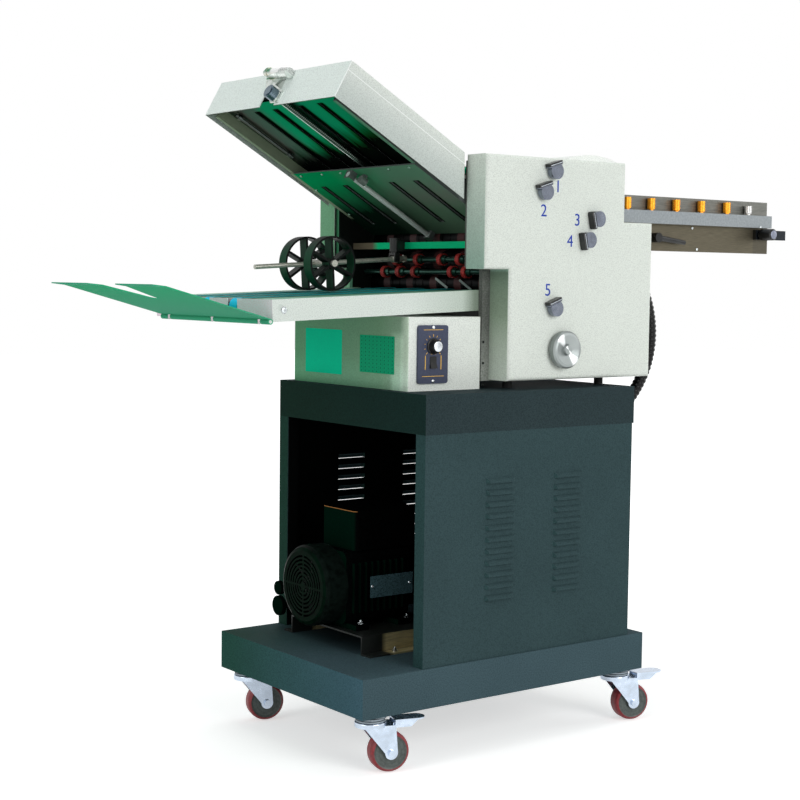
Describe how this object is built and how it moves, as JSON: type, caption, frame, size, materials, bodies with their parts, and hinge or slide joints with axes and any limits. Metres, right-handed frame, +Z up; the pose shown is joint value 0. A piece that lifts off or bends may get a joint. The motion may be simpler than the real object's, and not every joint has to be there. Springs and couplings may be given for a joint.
{
  "type": "paper folding machine",
  "caption": "Floor-standing buckle folder: sloping fold plate, folding head, feed table, belt delivery table with tray, on a wheeled louvred cabinet that holds its vacuum pump.",
  "frame": {"origin": "on the floor, below the middle of the machine", "axes": "+X towards the feed table, -X towards the catch tray, -Y towards the operator, +Z up"},
  "size_m": [1.5705, 0.5847, 1.2781],
  "materials": {
    "hammer_green": "hammered dark slate green paint",
    "speckle_white": "fine grained off-white textured paint",
    "table_paint": "fine grained pale paint",
    "tray_paint": "fine grained pale green paint",
    "frame_steel": "ground steel plate",
    "feed_steel": "oiled steel plate",
    "plate_steel": "bright rolled steel",
    "roller_steel": "knurled steel",
    "delivery_steel": "bright steel with rubber rings",
    "screw_steel": "bright turned steel",
    "clamp_black": "black enamel",
    "belt_rubber": "woven teal belt",
    "foot_rubber": "black rubber",
    "pump_iron": "black painted casting",
    "cowl_black": "black enamel",
    "fan_plastic": "moulded",
    "zinc_yellow": "yellow zinc plate",
    "castor_zinc": "bright plated pressing",
    "wheel_red": "red tread on a grey core",
    "wheel_aluminium": "turned face",
    "knob_chrome": "polished disc with a black grip bar",
    "brass": "turned and knurled",
    "black_plastic": "moulded",
    "panel_blue": "printed blue-grey panel",
    "hose_black": "ribbed black hose",
    "press_plastic": "moulded spoked wheel"
  },
  "bodies": {
    "stand_and_head": {"plinth": "hammer_green", "cabinet_body": "hammer_green", "cabinet_deck": "hammer_green", "cabinet_side_near": "hammer_green", "cabinet_side_far": "hammer_green", "side_cover_near": "speckle_white", "side_cover_far": "speckle_white", "top_hood": "speckle_white", "fold_plate_casing": "speckle_white", "electrical_box": "speckle_white", "delivery_table": "table_paint", "frame_plates": "frame_steel", "tie_bars": "frame_steel", "feed_table": "feed_steel", "fold_plates": "plate_steel", "drive_motor": "clamp_black", "belts": "belt_rubber", "frame_feet": "foot_rubber", "pump_body": "pump_iron", "fan_cowl": "cowl_black", "pump_bracket": "zinc_yellow", "thumb_knobs": "brass", "speed_panel": "panel_blue", "suction_hose": "hose_black"},
    "hand_wheel": {"hand_wheel": "wheel_aluminium"},
    "fold_roller_1": {"fold_roller_1": "roller_steel"},
    "fold_roller_2": {"fold_roller_2": "roller_steel"},
    "fold_roller_3": {"fold_roller_3": "roller_steel"},
    "fold_roller_4": {"fold_roller_4": "roller_steel"},
    "suction_roller": {"suction_roller": "roller_steel"},
    "delivery_shaft_lower": {"delivery_shaft_lower": "delivery_steel"},
    "delivery_shaft_upper": {"delivery_shaft_upper": "delivery_steel"},
    "belt_drive_roller": {"belt_drive_roller": "roller_steel"},
    "belt_tail_roller": {"belt_tail_roller": "roller_steel"},
    "arm_clamp": {"arm_clamp": "clamp_black"},
    "press_arm": {"press_arm": "screw_steel"},
    "press_wheels": {"press_wheels": "press_plastic"},
    "tray": {"tray": "tray_paint"},
    "gap_knob_1": {"gap_knob_1": "knob_chrome"},
    "gap_knob_2": {"gap_knob_2": "knob_chrome"},
    "gap_knob_3": {"gap_knob_3": "knob_chrome"},
    "gap_knob_4": {"gap_knob_4": "knob_chrome"},
    "gap_knob_5": {"gap_knob_5": "knob_chrome"},
    "speed_knob": {"speed_knob": "black_plastic"},
    "rocker_switch": {"rocker_switch": "black_plastic"},
    "guide_knob": {"guide_knob": "black_plastic"},
    "clamp_lever": {"clamp_lever": "black_plastic"},
    "pump_fan": {"pump_fan": "fan_plastic"},
    "plate_stop": {"plate_stop": "plate_steel"},
    "lead_screw": {"lead_screw": "screw_steel"},
    "castor_fork_near_left": {"castor_fork_near_left": "castor_zinc"},
    "castor_wheel_near_left": {"castor_wheel_near_left": "wheel_red"},
    "castor_fork_near_right": {"castor_fork_near_right": "castor_zinc"},
    "castor_wheel_near_right": {"castor_wheel_near_right": "wheel_red"},
    "castor_fork_far_left": {"castor_fork_far_left": "castor_zinc"},
    "castor_wheel_far_left": {"castor_wheel_far_left": "wheel_red"},
    "castor_fork_far_right": {"castor_fork_far_right": "castor_zinc"},
    "castor_wheel_far_right": {"castor_wheel_far_right": "wheel_red"},
    "brake_pedal_left": {"brake_pedal_left": "castor_zinc"},
    "brake_pedal_right": {"brake_pedal_right": "castor_zinc"}
  },
  "joints": [
    {"name": "hand_wheel_turn", "type": "hinge", "parent": "stand_and_head", "child": "hand_wheel", "pos_m": [0.068, 0.021, 0.7537], "axis": [0, 1, 0], "continuous": true},
    {"name": "fold_roller_4_turn", "type": "hinge", "parent": "stand_and_head", "child": "fold_roller_4", "pos_m": [-0.01579, 0.021, 0.87765], "axis": [0, 1, 0], "continuous": true},
    {"name": "fold_roller_3_turn", "type": "hinge", "parent": "stand_and_head", "child": "fold_roller_3", "pos_m": [-0.00792, 0.021, 0.92227], "axis": [0, 1, 0], "continuous": true},
    {"name": "fold_roller_2_turn", "type": "hinge", "parent": "stand_and_head", "child": "fold_roller_2", "pos_m": [-0.00792, 0.021, 0.96757], "axis": [0, 1, 0], "continuous": true},
    {"name": "fold_roller_1_turn", "type": "hinge", "parent": "stand_and_head", "child": "fold_roller_1", "pos_m": [0.01432, 0.021, 1.00703], "axis": [0, 1, 0], "continuous": true},
    {"name": "suction_roller_turn", "type": "hinge", "parent": "stand_and_head", "child": "suction_roller", "pos_m": [0.25, 0.021, 0.975], "axis": [0, 1, 0], "continuous": true},
    {"name": "delivery_shaft_lower_turn", "type": "hinge", "parent": "stand_and_head", "child": "delivery_shaft_lower", "pos_m": [-0.05, 0.021, 0.9004], "axis": [0, 1, 0], "continuous": true},
    {"name": "delivery_shaft_upper_turn", "type": "hinge", "parent": "stand_and_head", "child": "delivery_shaft_upper", "pos_m": [-0.05, 0.021, 0.925], "axis": [0, 1, 0], "continuous": true},
    {"name": "belt_drive_roller_turn", "type": "hinge", "parent": "stand_and_head", "child": "belt_drive_roller", "pos_m": [-0.053, 0.021, 0.852], "axis": [0, 1, 0], "continuous": true},
    {"name": "belt_tail_roller_turn", "type": "hinge", "parent": "stand_and_head", "child": "belt_tail_roller", "pos_m": [-0.53099, 0.021, 0.83328], "axis": [0, 1, 0], "continuous": true},
    {"name": "arm_clamp_slide", "type": "slide", "parent": "stand_and_head", "child": "arm_clamp", "axis": [0, 1, 0], "range_m": [-0.06, 0.06]},
    {"name": "press_arm_lift", "type": "hinge", "parent": "arm_clamp", "child": "press_arm", "pos_m": [-0.101, 0.061, 0.925], "axis": [0, 1, 0], "range_deg": [0, 25]},
    {"name": "press_wheels_turn", "type": "hinge", "parent": "press_arm", "child": "press_wheels", "pos_m": [-0.28815, 0.061, 0.91355], "axis": [0, 1, 0], "continuous": true},
    {"name": "tray_tilt", "type": "hinge", "parent": "stand_and_head", "child": "tray", "pos_m": [-0.55302, 0.021, 0.80915], "axis": [0, 1, 0], "range_deg": [-60, 60]},
    {"name": "gap_knob_1_turn", "type": "hinge", "parent": "stand_and_head", "child": "gap_knob_1", "pos_m": [0.037, -0.225, 1.093], "axis": [0, 1, 0], "continuous": true},
    {"name": "gap_knob_2_turn", "type": "hinge", "parent": "stand_and_head", "child": "gap_knob_2", "pos_m": [0.013, -0.225, 1.053], "axis": [0, 1, 0], "continuous": true},
    {"name": "gap_knob_3_turn", "type": "hinge", "parent": "stand_and_head", "child": "gap_knob_3", "pos_m": [0.15, -0.225, 1.006], "axis": [0, 1, 0], "continuous": true},
    {"name": "gap_knob_4_turn", "type": "hinge", "parent": "stand_and_head", "child": "gap_knob_4", "pos_m": [0.127, -0.225, 0.965], "axis": [0, 1, 0], "continuous": true},
    {"name": "gap_knob_5_turn", "type": "hinge", "parent": "stand_and_head", "child": "gap_knob_5", "pos_m": [0.043, -0.225, 0.833], "axis": [0, 1, 0], "continuous": true},
    {"name": "speed_knob_turn", "type": "hinge", "parent": "stand_and_head", "child": "speed_knob", "pos_m": [-0.205, -0.206, 0.762], "axis": [0, 1, 0], "range_deg": [-135, 135]},
    {"name": "rocker_switch_tilt", "type": "hinge", "parent": "stand_and_head", "child": "rocker_switch", "pos_m": [-0.205, -0.2007, 0.732], "axis": [1, 0, 0], "range_deg": [0, 8]},
    {"name": "guide_knob_turn", "type": "hinge", "parent": "stand_and_head", "child": "guide_knob", "pos_m": [0.707, -0.21, 0.991], "axis": [0, 1, 0], "continuous": true},
    {"name": "clamp_lever_turn", "type": "hinge", "parent": "stand_and_head", "child": "clamp_lever", "pos_m": [0.382, -0.195, 0.977], "axis": [0, 1, 0], "range_deg": [-20, 60]},
    {"name": "pump_fan_turn", "type": "hinge", "parent": "stand_and_head", "child": "pump_fan", "pos_m": [-0.327, 0.006, 0.2955], "axis": [1, 0, 0], "continuous": true},
    {"name": "plate_stop_slide", "type": "slide", "parent": "stand_and_head", "child": "plate_stop", "axis": [0.8712, 0, -0.4909], "range_m": [-0.2, 0.1]},
    {"name": "lead_screw_turn", "type": "hinge", "parent": "stand_and_head", "child": "lead_screw", "pos_m": [-0.43122, -0.004, 1.2206], "axis": [0.8712, 0, -0.4909], "range_deg": [-9000, 4500]},
    {"name": "castor_fork_near_left_swivel", "type": "hinge", "parent": "stand_and_head", "child": "castor_fork_near_left", "pos_m": [-0.373, -0.247, 0.09], "axis": [0, 0, 1], "continuous": true},
    {"name": "castor_wheel_near_left_turn", "type": "hinge", "parent": "castor_fork_near_left", "child": "castor_wheel_near_left", "pos_m": [-0.34049, -0.25694, 0.037], "axis": [0.2924, 0.9563, 0], "continuous": true},
    {"name": "brake_pedal_left_tilt", "type": "hinge", "parent": "castor_fork_near_left", "child": "brake_pedal_left", "pos_m": [-0.32805, -0.26074, 0.0877], "axis": [0.2924, 0.9563, 0], "range_deg": [-10, 5]},
    {"name": "castor_fork_near_right_swivel", "type": "hinge", "parent": "stand_and_head", "child": "castor_fork_near_right", "pos_m": [0.238, -0.247, 0.09], "axis": [0, 0, 1], "continuous": true},
    {"name": "castor_wheel_near_right_turn", "type": "hinge", "parent": "castor_fork_near_right", "child": "castor_wheel_near_right", "pos_m": [0.27051, -0.25694, 0.037], "axis": [0.2924, 0.9563, 0], "continuous": true},
    {"name": "brake_pedal_right_tilt", "type": "hinge", "parent": "castor_fork_near_right", "child": "brake_pedal_right", "pos_m": [0.28295, -0.26074, 0.0877], "axis": [0.2924, 0.9563, 0], "range_deg": [-10, 5]},
    {"name": "castor_fork_far_left_swivel", "type": "hinge", "parent": "stand_and_head", "child": "castor_fork_far_left", "pos_m": [-0.373, 0.169, 0.09], "axis": [0, 0, 1], "continuous": true},
    {"name": "castor_wheel_far_left_turn", "type": "hinge", "parent": "castor_fork_far_left", "child": "castor_wheel_far_left", "pos_m": [-0.34049, 0.15906, 0.037], "axis": [0.2924, 0.9563, 0], "continuous": true},
    {"name": "castor_fork_far_right_swivel", "type": "hinge", "parent": "stand_and_head", "child": "castor_fork_far_right", "pos_m": [0.238, 0.169, 0.09], "axis": [0, 0, 1], "continuous": true},
    {"name": "castor_wheel_far_right_turn", "type": "hinge", "parent": "castor_fork_far_right", "child": "castor_wheel_far_right", "pos_m": [0.27051, 0.15906, 0.037], "axis": [0.2924, 0.9563, 0], "continuous": true}
  ],
  "couplings": [
    {"joint": "fold_roller_4_turn", "follows": "hand_wheel_turn", "ratio": 2},
    {"joint": "fold_roller_3_turn", "follows": "hand_wheel_turn", "ratio": -2},
    {"joint": "fold_roller_2_turn", "follows": "hand_wheel_turn", "ratio": 2},
    {"joint": "fold_roller_1_turn", "follows": "hand_wheel_turn", "ratio": -2},
    {"joint": "suction_roller_turn", "follows": "hand_wheel_turn", "ratio": -2},
    {"joint": "delivery_shaft_lower_turn", "follows": "hand_wheel_turn", "ratio": 1.5},
    {"joint": "delivery_shaft_upper_turn", "follows": "hand_wheel_turn", "ratio": -1.5},
    {"joint": "belt_drive_roller_turn", "follows": "hand_wheel_turn", "ratio": 1.875},
    {"joint": "belt_tail_roller_turn", "follows": "hand_wheel_turn", "ratio": 1.875},
    {"joint": "lead_screw_turn", "follows": "plate_stop_slide", "rad_per_m": 785.4}
  ]
}
